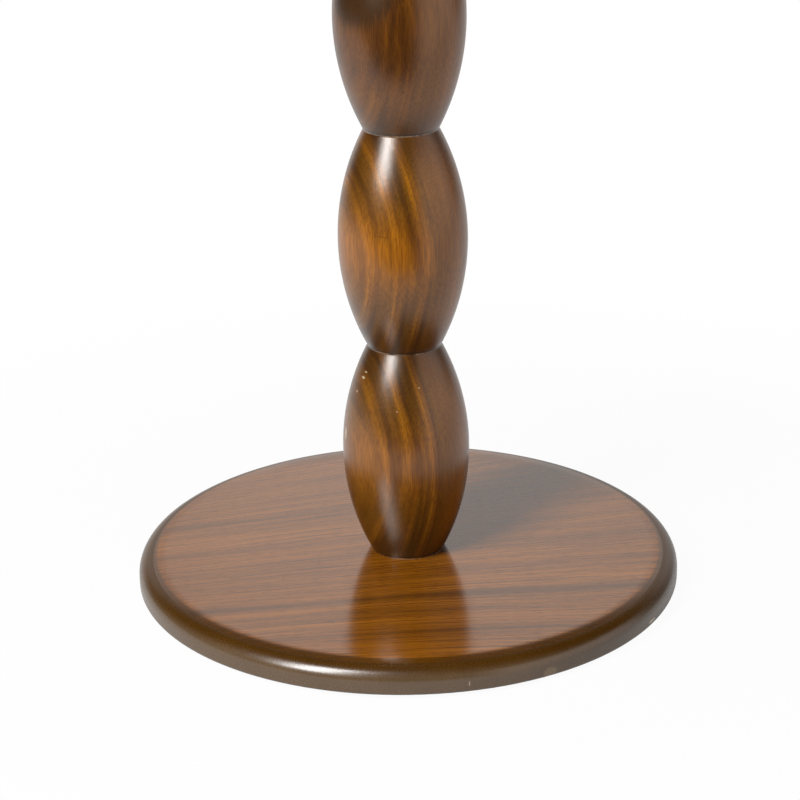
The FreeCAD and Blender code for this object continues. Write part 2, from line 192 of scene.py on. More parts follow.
# Plinth core: a disc of 14 mm MDF with a counterbored bolt hole, its upper edge run round with a cutter.
# Sanding eases the round into the face by a shallow arc, and a small round breaks the lower edge.
# The bare rim is sealed, toned dark brown to go with the veneer and lacquered with it.
BASE_RADIUS = 150.0
BASE_LEVEL = 2.0
CORE_THICKNESS = 14.0
VENEER_THICKNESS = 0.5
EDGE_ROUND = 8.0
EDGE_EASE = 60.0
EASE_WIDTH = 9.0
LOWER_ROUND = 2.0
COUNTERBORE_RADIUS = 13.0
COUNTERBORE_LEVEL = 9.6
BOLT_HOLE_RADIUS = 4.5
BOARD_SIDES = 256
EDGE_STEPS = 24
EASE_STEPS = 6
SEAM_GAP = 0.002  # points nearer than this are merged
RIM_SPECKLE = 1.1  # coarser than real pressed fibre, so that it shows in a render
RIM_CLOUD = 26.0
RIM_TONES = ((0.36, "533f29"), (0.64, "5c4730"))
TONER_DARK = "412703"
TONER_TONES = ((0.36, TONER_DARK), (0.64, "4a2e05"))
FACING_SHADE_LIMITS = {"From Min": 0.4, "From Max": 0.85}  # upward part of the normal
RIM_SHEEN = {"From Min": 0.3, "From Max": 0.7, "To Min": 0.24, "To Max": 0.30}
RIM_PEEL = {"Strength": 0.03, "Distance": 0.1 * MM}
RIM_CHIP = "d8c9a8"
RIM_WORN = "806b4c"
RIM_WEAR = (
    # centre in mm, half sizes in mm, colour, strength
    ((129.3, -76.0, 5.2), (3.2, 4.2, 0.7), RIM_CHIP, 0.9),
    ((71.8, -131.7, 5.0), (4.2, 4.2, 2.8), RIM_WORN, 0.65),
    ((30.0, -146.9, 7.2), (0.28, 1.0, 1.5), RIM_CHIP, 0.5),
)
MARK_RAG = 0.9  # share of a pattern that makes the edge of a mark ragged
MARK_EDGE = {"From Min": 1.5, "From Max": 1.2}  # distance from the centre in half sizes
EASED = {"interpolation_type": "SMOOTHSTEP"}


def draw_to(shape, tip, radius, height):
    """Draw an outline on by a straight side, to a radius and a height in millimetres."""
    grown = bmesh.ops.extrude_vert_indiv(shape, verts=[tip])
    grown["verts"][0].co = (radius * MM, 0, height * MM)
    return grown["verts"][0]


def draw_round(shape, tip, radius, height, degrees, steps):
    """Draw an outline on by an arc about a centre; positive degrees turn anticlockwise."""
    swung = bmesh.ops.spin(shape, geom=[tip], cent=(radius * MM, 0, height * MM), axis=(0, -1, 0),
                           angle=math.radians(degrees), steps=steps)
    return next(part for part in swung["geom_last"] if isinstance(part, bmesh.types.BMVert))


def turn_outline(name, shape, sides, sharp=40):
    """Turn an outline about Z by a full turn and close it to a solid."""
    outline = shape.verts[:] + shape.edges[:]
    bmesh.ops.spin(shape, geom=outline, cent=(0, 0, 0), axis=(0, 0, 1), angle=math.tau, steps=sides,
                   use_merge=True)
    bmesh.ops.remove_doubles(shape, verts=shape.verts[:], dist=SEAM_GAP * MM)
    bmesh.ops.recalc_face_normals(shape, faces=shape.faces[:])
    return finish_mesh(name, shape, sharp)


def start_outline(radius, height):
    """A new outline and its first point."""
    shape = bmesh.new()
    return shape, shape.verts.new((radius * MM, 0, height * MM))


# The cutter's round and the shallow arc share a tangent; the veneers end part of the way round the arcs.
ease_turn = math.asin(EASE_WIDTH / EDGE_EASE)
veneer_turn = math.acos(1 - VENEER_THICKNESS / EDGE_EASE)
lower_turn = math.acos(1 - VENEER_THICKNESS / LOWER_ROUND)
ease_drop = EDGE_EASE * (1 - math.cos(ease_turn))
edge_height = EDGE_ROUND * math.cos(ease_turn)
face_inset = EDGE_ROUND * (1 - math.sin(ease_turn)) + EASE_WIDTH
lower_inset = LOWER_ROUND * (1 - math.sin(lower_turn))


def draw_rim(shape, tip, radius, underside, face):
    """Draw a core's outline on round its rim, for a board between two levels."""
    round_level = face - ease_drop - edge_height
    tip = draw_to(shape, tip, radius - lower_inset, underside + VENEER_THICKNESS)
    tip = draw_round(shape, tip, radius - LOWER_ROUND, underside + LOWER_ROUND,
                     90 - math.degrees(lower_turn), EASE_STEPS)
    tip = draw_to(shape, tip, radius, round_level)
    tip = draw_round(shape, tip, radius - EDGE_ROUND, round_level, 90 - math.degrees(ease_turn), EDGE_STEPS)
    return draw_round(shape, tip, radius - face_inset, face - EDGE_EASE,
                      math.degrees(ease_turn - veneer_turn), EASE_STEPS)


def wear_and_shade(tree, place, tone, ragged, marks):
    """Lay worn marks or painted shade over a tone; each has a centre, half sizes, a hex colour and a
    strength.
    """
    for centre, half_sizes, colour, strength in marks:
        offset = add_node(tree, "VectorMath", {0: place, 1: centre}, operation="SUBTRACT")
        reach = add_node(tree, "VectorMath", {0: offset, 1: half_sizes}, operation="DIVIDE")
        distance = add_node(tree, "VectorMath", {0: reach}, operation="LENGTH")
        torn = add_node(tree, "Math", {0: ragged, 1: MARK_RAG, 2: distance}, operation="MULTIPLY_ADD")
        mark = add_node(tree, "MapRange", {"Value": torn, **MARK_EDGE, "To Max": strength})
        tone = add_node(tree, "Mix", {"Factor": mark, "A": tone, "B": linear(colour)}, **BLEND)
    return tone


# Toned MDF: no grain, only a fine pressed-fibre speckle and slow clouds of stain under lacquer.
# The round takes the dark warm toner tone and the lower edge a greyer one, by how far the surface faces up:
# toner, with painted shade on the round and a painted reflection of the floor on the lower edge.
# Worn spots: a sliver chipped to the pale board, a rubbed square patch and a short scratch at the front.
toned_mdf, tree, shader, place = start_finish("toned_lacquered_mdf")
speckle = add_node(tree, "TexNoise", {"Vector": place, "Scale": 1 / RIM_SPECKLE, "Detail": 4.0,
                                      "Roughness": 0.65})
cloud = add_node(tree, "TexNoise", {"Vector": place, "Scale": 1 / RIM_CLOUD, "Detail": 3.0})
stain = add_node(tree, "Math", {0: speckle, 1: cloud}, operation="ADD")
half_stain = add_node(tree, "Math", {0: stain, 1: 0.5}, operation="MULTIPLY")
lower_pale_tone = add_node(tree, "ValToRGB", {"Fac": half_stain}, stops=RIM_TONES)
upper_shaded_tone = add_node(tree, "ValToRGB", {"Fac": half_stain}, stops=TONER_TONES)
facing = add_node(tree, "SeparateXYZ", {0: add_node(tree, "NewGeometry").outputs["Normal"]})
# Painted shade and painted floor reflection: grey below, dark toner above, by the upward part of the normal.
facing_shade = add_node(tree, "MapRange", {"Value": facing.outputs["Z"], **FACING_SHADE_LIMITS}, **EASED)
rim_toned_and_shaded = add_node(tree, "Mix", {"Factor": facing_shade, "A": lower_pale_tone, "B": upper_shaded_tone}, **BLEND)
worn_and_shaded_tone = wear_and_shade(tree, place, rim_toned_and_shaded, speckle, RIM_WEAR)
rim_roughness = add_node(tree, "MapRange", {"Value": speckle, **RIM_SHEEN})
orange_peel = add_node(tree, "Bump", {"Height": speckle, **RIM_PEEL})
set_inputs(tree, shader, {"Base Color": worn_and_shaded_tone, "Roughness": rim_roughness, "Normal": orange_peel,
                          "IOR": 1.64})

core_foot = BASE_LEVEL + VENEER_THICKNESS
core_head = core_foot + CORE_THICKNESS
base_head = core_head + VENEER_THICKNESS
shape, first = start_outline(BOLT_HOLE_RADIUS, COUNTERBORE_LEVEL)
tip = draw_to(shape, first, COUNTERBORE_RADIUS, COUNTERBORE_LEVEL)
tip = draw_to(shape, tip, COUNTERBORE_RADIUS, core_foot)
tip = draw_rim(shape, tip, BASE_RADIUS, BASE_LEVEL, base_head)
tip = draw_to(shape, tip, BOLT_HOLE_RADIUS, core_head)
shape.edges.new((tip, first))
base_core = turn_outline("base_core_disc", shape, BOARD_SIDES)
base_core.data.materials.append(toned_mdf)
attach(base_core, "root")
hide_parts("base_panel")


# Plinth face: walnut veneer pressed on the core, trimmed by the cutter that ran the edge round.
# Its figure is flat-sliced: long streaks that climb to the right and straighten towards the front.
GRAIN_SLOPE = 0.20  # climb of the figure in the middle, per mm to the right
GRAIN_FAN = 0.00125  # change of that climb per mm towards the back
GRAIN_SWEEP = -0.00035  # change of that climb per mm to the right
GRAIN_DRIFT_SIZE = (90.0, 40.0, 40.0)
GRAIN_WANDER = (0.0, 5.0, 0.0)
NOISE_MIDDLE = 0.5
FIGURE_SIZE = (320.0, 20.0, 20.0)
WALNUT_TONES = ((0.30, "73430a"), (0.5, "8b510d"), (0.72, "9f6012"))
WALNUT_STREAK = "361b04"
STREAK_SIZE = (110.0, 1.3, 1.3)
STREAK_LIMITS = {"From Min": 0.47, "From Max": 0.64, "To Min": 0.0, "To Max": 0.58}
LINE_SIZE = (240.0, 3.6, 3.6)
LINE_LIMITS = {"From Min": 0.0, "From Max": 0.03, "To Min": 0.4, "To Max": 0.0}
WALNUT_PORE_SIZE = (9.0, 0.5, 0.5)  # coarser than real pores, so that they show in a render
WALNUT_PORE_LIMITS = {"From Min": 0.54, "From Max": 0.68, "To Min": 0.0, "To Max": 0.5}
WALNUT_SHEEN = {"From Min": 0.0, "From Max": 0.5, "To Min": 0.16, "To Max": 0.21}
WALNUT_RELIEF = {"Strength": 0.03, "Distance": 0.1 * MM}
BAND_REACH = 130.0
BAND_ROW = 9  # bands in one colour ramp, which holds 32 stops
FIGURE_BANDS = (
    # place across the grain in mm, half width in mm, depth
    (-108.0, 2.5, 0.40), (-100.0, 2.0, 0.34), (-90.0, 2.5, 0.25), (-82.0, 2.0, 0.27), (-67.0, 8.0, 0.70),
    (-44.0, 2.5, 0.25), (-35.0, 2.0, 0.16), (-26.0, 2.5, 0.36), (-17.0, 1.8, 0.16), (-8.0, 2.2, 0.30),
    (1.0, 1.8, 0.25), (15.0, 2.5, 0.36), (30.5, 2.2, 0.25), (59.0, 2.5, 0.24), (73.5, 2.5, 0.38),
    (84.0, 1.5, 0.16), (96.0, 2.0, 0.28), (110.0, 2.0, 0.22),
)
TOP_OVERHANG = 25.0
TOP_SPLIT = 250.0  # a level between the plinth and the tabletop
LEVEL_PART = (1.0, 1.0, 0.0)  # keeps X and Y of a place
TONER_SHADE_SHIFT = (0.0, -3.2, 0.0)
TONER_SHADE_LIMITS = {"From Min": 10.8, "From Max": 8.6, "To Min": 0.0, "To Max": 0.8}  # from the rim


def near_level(tree, value, level, strengths, **settings):
    """How strong a tone is by the distance of a value from a level."""
    offset = add_node(tree, "Math", {0: value, 1: level}, operation="SUBTRACT")
    distance = add_node(tree, "Math", {0: offset}, operation="ABSOLUTE")
    return add_node(tree, "MapRange", {"Value": distance, **strengths}, **settings)


def draw_face(shape, tip, radius, underside, face):
    """Draw a face veneer's outline on along its underside and up its trimmed edge."""
    tip = draw_to(shape, tip, radius - face_inset + EDGE_EASE * math.sin(veneer_turn), underside)
    return draw_round(shape, tip, radius - face_inset, face - EDGE_EASE,
                      math.degrees(veneer_turn), EASE_STEPS)


# Lacquered walnut veneer: brown figure with dark bands, thin lines, finer streaks and open pores, under
# a satin-gloss film that mirrors the column and turns pale where it mirrors the backdrop.
# Towards the rim the toner sprayed on the edge laps over the face and hides the figure; its reach is pushed
# to the front as painted shade, where the tilted edge turns away from the backdrop's reflection.
walnut, tree, shader, place = start_finish("lacquered_walnut_veneer")
right, back, up = add_node(tree, "SeparateXYZ", {0: place}).outputs
fanned = add_node(tree, "Math", {0: back, 1: GRAIN_FAN, 2: GRAIN_SLOPE}, operation="MULTIPLY_ADD")
swept = add_node(tree, "Math", {0: right, 1: GRAIN_SWEEP, 2: fanned}, operation="MULTIPLY_ADD")
climb = add_node(tree, "Math", {0: right, 1: swept}, operation="MULTIPLY")
across = add_node(tree, "Math", {0: back, 1: climb}, operation="SUBTRACT")
along_grain = add_node(tree, "CombineXYZ", {0: right, 1: across, 2: up})
drift_place = add_node(tree, "Mapping", {"Vector": along_grain, "Scale": per(*GRAIN_DRIFT_SIZE)})
drift = add_node(tree, "TexNoise", {"Vector": drift_place, "Scale": 1.0, "Detail": 2.0})
shift = add_node(tree, "VectorMath", {0: drift.outputs["Color"], 1: (NOISE_MIDDLE,) * 3},
                 operation="SUBTRACT")
wavy = add_node(tree, "VectorMath", {0: shift, 1: GRAIN_WANDER, 2: along_grain}, operation="MULTIPLY_ADD")
wavy_across = add_node(tree, "SeparateXYZ", {0: wavy}).outputs["Y"]
band_place = add_node(tree, "MapRange", {"Value": wavy_across, "From Min": -BAND_REACH,
                                         "From Max": BAND_REACH})
band_rows = []
for row in (FIGURE_BANDS[:BAND_ROW], FIGURE_BANDS[BAND_ROW:]):
    stops = []
    for middle, half, depth in row:
        for offset, level in ((-half, 0.0), (0.0, depth), (half, 0.0)):
            stops.append(((middle + offset + BAND_REACH) / (2 * BAND_REACH), level))
    band_rows.append(add_node(tree, "ValToRGB", {"Fac": band_place}, stops=stops))
band_depth = add_node(tree, "Math", {0: band_rows[0], 1: band_rows[1]}, operation="MAXIMUM")
figure_place = add_node(tree, "Mapping", {"Vector": wavy, "Scale": per(*FIGURE_SIZE)})
figure = add_node(tree, "TexNoise", {"Vector": figure_place, "Scale": 1.0, "Detail": 4.0, "Roughness": 0.6})
figure_tone = add_node(tree, "ValToRGB", {"Fac": figure}, stops=WALNUT_TONES)
streak_place = add_node(tree, "Mapping", {"Vector": wavy, "Scale": per(*STREAK_SIZE)})
streak = add_node(tree, "TexNoise", {"Vector": streak_place, "Scale": 1.0, "Detail": 3.0, "Roughness": 0.55})
streak_depth = add_node(tree, "MapRange", {"Value": streak, **STREAK_LIMITS})
line_place = add_node(tree, "Mapping", {"Vector": wavy, "Scale": per(*LINE_SIZE)})
line = add_node(tree, "TexNoise", {"Vector": line_place, "Scale": 1.0, "Detail": 1.5})
line_depth = near_level(tree, line, NOISE_MIDDLE, LINE_LIMITS)
any_line = add_node(tree, "Math", {0: line_depth, 1: band_depth}, operation="MAXIMUM")
pore_place = add_node(tree, "Mapping", {"Vector": wavy, "Scale": per(*WALNUT_PORE_SIZE)})
pore = add_node(tree, "TexNoise", {"Vector": pore_place, "Scale": 1.0, "Detail": 2.0})
pore_depth = add_node(tree, "MapRange", {"Value": pore, **WALNUT_PORE_LIMITS})
marked = figure_tone
for depth in (streak_depth, any_line, pore_depth):
    marked = add_node(tree, "Mix", {"Factor": depth, "A": marked, "B": linear(WALNUT_STREAK)}, **BLEND)
# The toner's circle is shifted to the front, as painted shade on the front edge.
off_axis = add_node(tree, "VectorMath", {0: place, 1: LEVEL_PART, 2: TONER_SHADE_SHIFT}, operation="MULTIPLY_ADD")
from_middle = add_node(tree, "VectorMath", {0: off_axis}, operation="LENGTH")
on_top = add_node(tree, "Math", {0: up, 1: TOP_SPLIT}, operation="GREATER_THAN")
rim_radius = add_node(tree, "Math", {0: on_top, 1: TOP_OVERHANG, 2: BASE_RADIUS}, operation="MULTIPLY_ADD")
from_rim = add_node(tree, "Math", {0: rim_radius, 1: from_middle}, operation="SUBTRACT")
toner_and_shade = add_node(tree, "MapRange", {"Value": from_rim, **TONER_SHADE_LIMITS}, **EASED)
edge_toned_and_shaded = add_node(tree, "Mix", {"Factor": toner_and_shade, "A": marked, "B": linear(TONER_DARK)}, **BLEND)
shimmer = add_node(tree, "MapRange", {"Value": pore_depth, **WALNUT_SHEEN})
open_pores = add_node(tree, "Bump", {"Height": pore_depth, **WALNUT_RELIEF}, invert=True)
set_inputs(tree, shader, {"Base Color": edge_toned_and_shaded, "Roughness": shimmer, "Normal": open_pores, "IOR": 2.0})

shape, first = start_outline(BOLT_HOLE_RADIUS, core_head)
tip = draw_face(shape, first, BASE_RADIUS, core_head, base_head)
tip = draw_to(shape, tip, BOLT_HOLE_RADIUS, base_head)
shape.edges.new((tip, first))
base_face = turn_outline("base_walnut_face", shape, BOARD_SIDES)
base_face.data.materials.append(walnut)
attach(base_face, "root")
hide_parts("base_face_veneer")


# Plinth bolt and washers: an M8 furniture bolt, a spring washer and a wide flat washer, zinc plated.
# They sit in the counterbore under the plinth and pull the column down onto it.
ZINC_CLOUD = 5.0
ZINC_TONES = ((0.3, "8d9092"), (0.7, "c9ccce"))
ZINC_DRAW_SIZE = (12.0, 12.0, 0.5)  # coarser than real drawing lines, so that they show in a render
ZINC_SHEEN = {"From Min": 0.3, "From Max": 0.7, "To Min": 0.28, "To Max": 0.45}
ZINC_RELIEF = {"Strength": 0.15, "Distance": 0.05 * MM}

# Zinc-plated steel: cool grey metal with faint drawing lines and slightly dull passivated clouds.
zinc, tree, shader, place = start_finish("zinc_plated_steel")
cloud = add_node(tree, "TexNoise", {"Vector": place, "Scale": 1 / ZINC_CLOUD, "Detail": 4.0})
zinc_tone = add_node(tree, "ValToRGB", {"Fac": cloud}, stops=ZINC_TONES)
draw_place = add_node(tree, "Mapping", {"Vector": place, "Scale": per(*ZINC_DRAW_SIZE)})
drawn = add_node(tree, "TexNoise", {"Vector": draw_place, "Scale": 1.0, "Detail": 2.0})
zinc_roughness = add_node(tree, "MapRange", {"Value": drawn, **ZINC_SHEEN})
drawing_lines = add_node(tree, "Bump", {"Height": drawn, **ZINC_RELIEF})
set_inputs(tree, shader, {"Base Color": zinc_tone, "Roughness": zinc_roughness, "Normal": drawing_lines,
                          "Metallic": 1.0})
for steel_node in ("base_bolt", "base_spring_washer", "base_flat_washer"):
    coat_node(steel_node, zinc)


# Inserts: two threaded M8 steel sleeves, pressed and glued into the bored ends of the column.
# They are hidden in the wood, and the bolts of the plinth and the plate screw into them.
for insert_node in ("foot_insert", "head_insert"):
    coat_node(insert_node, zinc)


# Column: one length of stained hardwood, turned on a lathe to four bobbins with V-cut necks between.
# It is bored at both ends for the inserts, sanded as it turns, and sprayed with clear gloss lacquer.
# Rings are distances from the pith and levels are heights above the floor, both in millimetres.
BEAD_COUNT = 4
BEAD_PITCH = 120.0
BEAD_RADIUS = 34.7
NECK_RADIUS = 20.0
NECK_FILLET = 0.8
INSERT_BORE = 6.1
INSERT_DEPTH = 26.0
TAP_BORE = 4.1
BORE_DEPTH = 34.0
BEAD_STEPS = 44
FILLET_STEPS = 4
COLUMN_SIDES = 192
COLUMN_ARRIS = 60
PITH = (42.0, 9.0, 197.0)
PITH_LEAN = (0.0, 0.0, -0.033)
RING_DRIFT_SIZE = (30.0, 30.0, 130.0)
RING_WANDER = (3.0, 3.0, 0.0)
RING_SPAN = 90.0
RING_GROUND = (
    # distance from the pith in mm, colour of the wood there
    (0.0, "90560d"), (24.0, "90560d"), (31.0, "9c5f0f"), (42.5, "88530c"), (55.8, "5f3b09"),
    (58.8, "5f3b09"), (66.5, "6e450d"), (76.0, "66410f"), (80.0, "6c4511"), (90.0, "5c3a0f"),
)
RING_LINES = (51.9, 62.0, 71.0)
LINE_TONES = (
    # offset from a growth line in mm, colour there
    (-2.2, "72480b"), (-1.0, "8e560c"), (-0.3, "945c0d"), (0.0, "663f08"), (0.35, "ab6c12"),
    (1.2, "9e630e"), (2.4, "72480b"),
)
LINE_PLAIN = "74490c"
FADE_PATCH = 28.0
FADE_LIMITS = {"From Min": 0.42, "From Max": 0.62, "To Min": 0.14, "To Max": 0.55}
FADE_RINGS = {"From Min": 46.0, "From Max": 72.0, "To Min": 0.0, "To Max": 1.7}
OUTWARD_RINGS = {"From Min": 40.0, "From Max": 54.0}
PLAIN_BROWN = "90550f"
PLAIN_LEVELS = {"From Min": 246.0, "From Max": 300.0, "To Min": 0.0, "To Max": 0.8}
BULGE_GOLD = "b26b0c"
BULGE_PATCH = 26.0
BULGE_LIMITS = {"From Min": 40.0, "From Max": 72.0, "To Min": 0.0, "To Max": 0.62}
GOLD_LEVEL = 157.0
GOLD_LIMITS = {"From Min": 35.0, "From Max": 155.0, "To Min": 1.0, "To Max": 0.2}
# Painted shade: a grey multiplied over the wood towards each neck, at the foot and high on the third bobbin.
PAINTED_SHADE_GREY = "b0aca8"
NECK_SHADE_TONES = ((0.0, PAINTED_SHADE_GREY), (1.0, "ffffff"))
NECK_SHADE_REACH = {"From Min": 0.0, "From Max": 28.0}
BLOTCH_SIZE = (3.2, 55.0, 1.0)  # across the rings, up the column, not used
BLOTCH_TONES = ((0.32, "b4ac9e"), (0.62, "ffffff"))
BLOTCH_LIMITS = {"From Min": 0.0, "From Max": 1.0, "To Min": 0.3, "To Max": 1.0}
# Painted shade at the foot, and a painted dark reflection from the third bobbin up.
FOOT_SHADE_LEVELS = {"From Min": 125.0, "From Max": 40.0, "To Min": 0.0, "To Max": 0.2}
HEAD_SHADE_LEVELS = {"From Min": 264.0, "From Max": 306.0}
HEAD_SHADE_RINGS = {"From Min": 40.0, "From Max": 62.0, "To Min": 0.2, "To Max": 1.25}
FIBRE_SIZE = (0.45, 0.45, 16.0)  # coarser than real fibre, so that it shows in a render
FIBRE_TONES = ((0.34, "aaa59e"), (0.6, "ffffff"))
FIBRE_SHARE = 0.8
FIBRE_RELIEF = {"Strength": 0.75, "Distance": 0.1 * MM}
# Painted shadow in each neck cut.
GROOVE_PAINTED_SHADOW = "1f1004"
GROOVE_RISE = 1.2
GROOVE_SHADOW_LIMITS = {"From Min": 0.4, "From Max": 0.8, "To Min": 0.7, "To Max": 0.0}  # from the rise
# Painted highlight on the arris under each neck cut, broken up by the blotches.
ARRIS_PAINTED_HIGHLIGHT = "a58a70"
ARRIS_HIGHLIGHT_RISE = 0.3
ARRIS_HIGHLIGHT_LIMITS = {"From Min": 0.2, "From Max": 0.4, "To Min": 0.6, "To Max": 0.0}  # from the rise
ARRIS_HIGHLIGHT_BREAKS = {"From Min": 0.42, "From Max": 0.6}
LATHE_SIZE = (40.0, 40.0, 0.7)  # coarser than real sanding rings, so that they show in a render
LATHE_RELIEF = {"Strength": 0.06, "Distance": 0.05 * MM}
COLUMN_SHEEN = {"From Min": 0.3, "From Max": 0.7, "To Min": 0.46, "To Max": 0.38}
GOLD_LUSTRE = "ffcb95"
CHIP_CREAM = "d9c7a2"
CRACK_DARK = "241405"
PAINTED_DARK_REFLECTION = "2e1b07"
COLUMN_WEAR_AND_SHADE = (
    # centre in mm, half sizes in mm, colour, strength
    # a painted dark reflection on the upper left of the third bobbin
    ((-22.0, -24.0, 334.0), (25.0, 25.0, 20.0), PAINTED_DARK_REFLECTION, 0.86),
    ((-21.0, -14.0, 125.7), (1.3, 1.3, 0.4), CHIP_CREAM, 0.5),
    ((-22.4, -14.0, 122.6), (1.5, 1.5, 0.7), CHIP_CREAM, 0.55),
    ((-26.1, -13.1, 114.5), (0.8, 0.8, 0.8), CHIP_CREAM, 0.35),
    ((-32.7, -9.5, 88.9), (1.0, 1.6, 4.2), CHIP_CREAM, 0.45),
    ((-4.6, -30.4, 108.8), (0.5, 1.0, 0.4), CHIP_CREAM, 0.35),
    ((7.3, -26.1, 120.7), (0.6, 1.0, 0.4), CHIP_CREAM, 0.35),
    ((-11.0, -32.5, 207.3), (4.4, 3.0, 0.25), CRACK_DARK, 0.45),
)
DARKEN = {"data_type": "RGBA", "blend_type": "MULTIPLY"}

# Lacquered turned hardwood: growth rings cut across by the turning, each a hairline between two gold bands.
# The lines fade in places away from the heart, and nearly vanish from the third bobbin up.
turned_wood, tree, shader, place = start_finish("lacquered_turned_hardwood")
up = add_node(tree, "SeparateXYZ", {0: place}).outputs["Z"]
drift_place = add_node(tree, "Mapping", {"Vector": place, "Scale": per(*RING_DRIFT_SIZE)})
drift = add_node(tree, "TexNoise", {"Vector": drift_place, "Scale": 1.0, "Detail": 3.0})
shift = add_node(tree, "VectorMath", {0: drift.outputs["Color"], 1: (NOISE_MIDDLE,) * 3},
                 operation="SUBTRACT")
wavy = add_node(tree, "VectorMath", {0: shift, 1: RING_WANDER, 2: place}, operation="MULTIPLY_ADD")
from_pith = add_node(tree, "VectorMath", {0: wavy, 1: PITH}, operation="SUBTRACT")
level_offset = add_node(tree, "VectorMath", {0: from_pith, 1: LEVEL_PART}, operation="MULTIPLY")
pith_distance = add_node(tree, "VectorMath", {0: level_offset}, operation="LENGTH")
lean = add_node(tree, "VectorMath", {0: from_pith, 1: PITH_LEAN}, operation="DOT_PRODUCT")
ring = add_node(tree, "Math", {0: pith_distance, 1: lean}, operation="ADD")
ring_share = add_node(tree, "Math", {0: ring, 1: RING_SPAN}, operation="DIVIDE")
ring_stops = list(RING_GROUND)
for middle in RING_LINES:
    ring_stops += [(middle + offset, colour) for offset, colour in LINE_TONES]
ring_stops = [(distance / RING_SPAN, colour) for distance, colour in sorted(ring_stops)]
ring_tone = add_node(tree, "ValToRGB", {"Fac": ring_share}, stops=ring_stops)
fade = add_node(tree, "TexNoise", {"Vector": place, "Scale": 1 / FADE_PATCH, "Detail": 3.0})
fade_there = add_node(tree, "MapRange", {"Value": fade, **FADE_LIMITS})
beyond_heart = add_node(tree, "MapRange", {"Value": ring, **FADE_RINGS})
fade_share = add_node(tree, "Math", {0: fade_there, 1: beyond_heart}, operation="MULTIPLY")
faded = add_node(tree, "Mix", {"Factor": fade_share, "A": ring_tone, "B": linear(LINE_PLAIN)}, **BLEND)
outward = add_node(tree, "MapRange", {"Value": ring, **OUTWARD_RINGS}, **EASED)
plain = add_node(tree, "MapRange", {"Value": up, **PLAIN_LEVELS}, **EASED)
plain_share = add_node(tree, "Math", {0: plain, 1: outward}, operation="MULTIPLY")
faint_rings = add_node(tree, "Mix", {"Factor": plain_share, "A": faded, "B": linear(PLAIN_BROWN)}, **BLEND)

# Painted shade darkens the wood towards each neck, the stain blotches, and the bulges are gold.
# Painted shade darkens the foot, and a painted dark reflection darkens the third bobbin up, most away from
# the heart.
above_foot = add_node(tree, "Math", {0: up, 1: base_head}, operation="SUBTRACT")
from_neck = add_node(tree, "Math", {0: above_foot, 1: BEAD_PITCH / 2}, operation="PINGPONG")
patchy = add_node(tree, "Math", {0: drift, 1: BULGE_PATCH, 2: from_neck}, operation="MULTIPLY_ADD")
bulge = add_node(tree, "MapRange", {"Value": patchy, **BULGE_LIMITS}, **EASED)
golden = near_level(tree, up, GOLD_LEVEL, GOLD_LIMITS, **EASED)
gold_there = add_node(tree, "Math", {0: bulge, 1: golden}, operation="MULTIPLY")
gold_share = add_node(tree, "Math", {0: gold_there, 1: outward}, operation="MULTIPLY")
evened = add_node(tree, "Mix", {"Factor": gold_share, "A": faint_rings, "B": linear(BULGE_GOLD)}, **BLEND)
neck_shade_share = add_node(tree, "MapRange", {"Value": from_neck, **NECK_SHADE_REACH}, **EASED)
neck_shade = add_node(tree, "ValToRGB", {"Fac": neck_shade_share}, stops=NECK_SHADE_TONES)
neck_shaded = add_node(tree, "Mix", {"Factor": 1.0, "A": evened, "B": neck_shade}, **DARKEN)
along_rings = add_node(tree, "CombineXYZ", {0: ring, 1: up})
blotch_place = add_node(tree, "Mapping", {"Vector": along_rings, "Scale": per(*BLOTCH_SIZE)})
blotch = add_node(tree, "TexNoise", {"Vector": blotch_place, "Scale": 1.0, "Detail": 3.0})
blotch_tone = add_node(tree, "ValToRGB", {"Fac": blotch}, stops=BLOTCH_TONES)
blotch_share = add_node(tree, "MapRange", {"Value": outward, **BLOTCH_LIMITS})
blotched = add_node(tree, "Mix", {"Factor": blotch_share, "A": neck_shaded, "B": blotch_tone}, **DARKEN)
# Painted shade at the foot, and a painted dark reflection on the third bobbin, away from the heart.
foot_shade = add_node(tree, "MapRange", {"Value": up, **FOOT_SHADE_LEVELS}, **EASED)
head_shade_level = add_node(tree, "MapRange", {"Value": up, **HEAD_SHADE_LEVELS}, **EASED)
head_shade_side = add_node(tree, "MapRange", {"Value": ring, **HEAD_SHADE_RINGS})
head_shade = add_node(tree, "Math", {0: head_shade_level, 1: head_shade_side}, operation="MULTIPLY")
end_shade = add_node(tree, "Math", {0: head_shade, 1: foot_shade}, operation="MAXIMUM", use_clamp=True)
end_shaded = add_node(tree, "Mix", {"Factor": end_shade, "A": blotched, "B": linear(PAINTED_SHADE_GREY)}, **DARKEN)

# Fine fibre runs up the grain and shows in the gloss film, which has faint rings from sanding.
# Each neck cut holds a painted shadow, and a painted highlight runs as a thin pale line along the arris
# under it.
# Marks: a painted dark reflection on the third bulge, chips on the lowest bobbin and a crack on the second.
fibre_place = add_node(tree, "Mapping", {"Vector": wavy, "Scale": per(*FIBRE_SIZE)})
fibre = add_node(tree, "TexNoise", {"Vector": fibre_place, "Scale": 1.0, "Detail": 4.0, "Roughness": 0.6})
fibre_tone = add_node(tree, "ValToRGB", {"Fac": fibre}, stops=FIBRE_TONES)
fibred = add_node(tree, "Mix", {"Factor": FIBRE_SHARE, "A": end_shaded, "B": fibre_tone}, **DARKEN)
in_bead = add_node(tree, "Math", {0: above_foot, 1: BEAD_PITCH}, operation="FLOORED_MODULO")
groove_shadow = near_level(tree, in_bead, GROOVE_RISE, GROOVE_SHADOW_LIMITS)
groove_shaded = add_node(tree, "Mix", {"Factor": groove_shadow, "A": fibred, "B": linear(GROOVE_PAINTED_SHADOW)}, **BLEND)
arris_highlight = near_level(tree, in_bead, ARRIS_HIGHLIGHT_RISE, ARRIS_HIGHLIGHT_LIMITS)
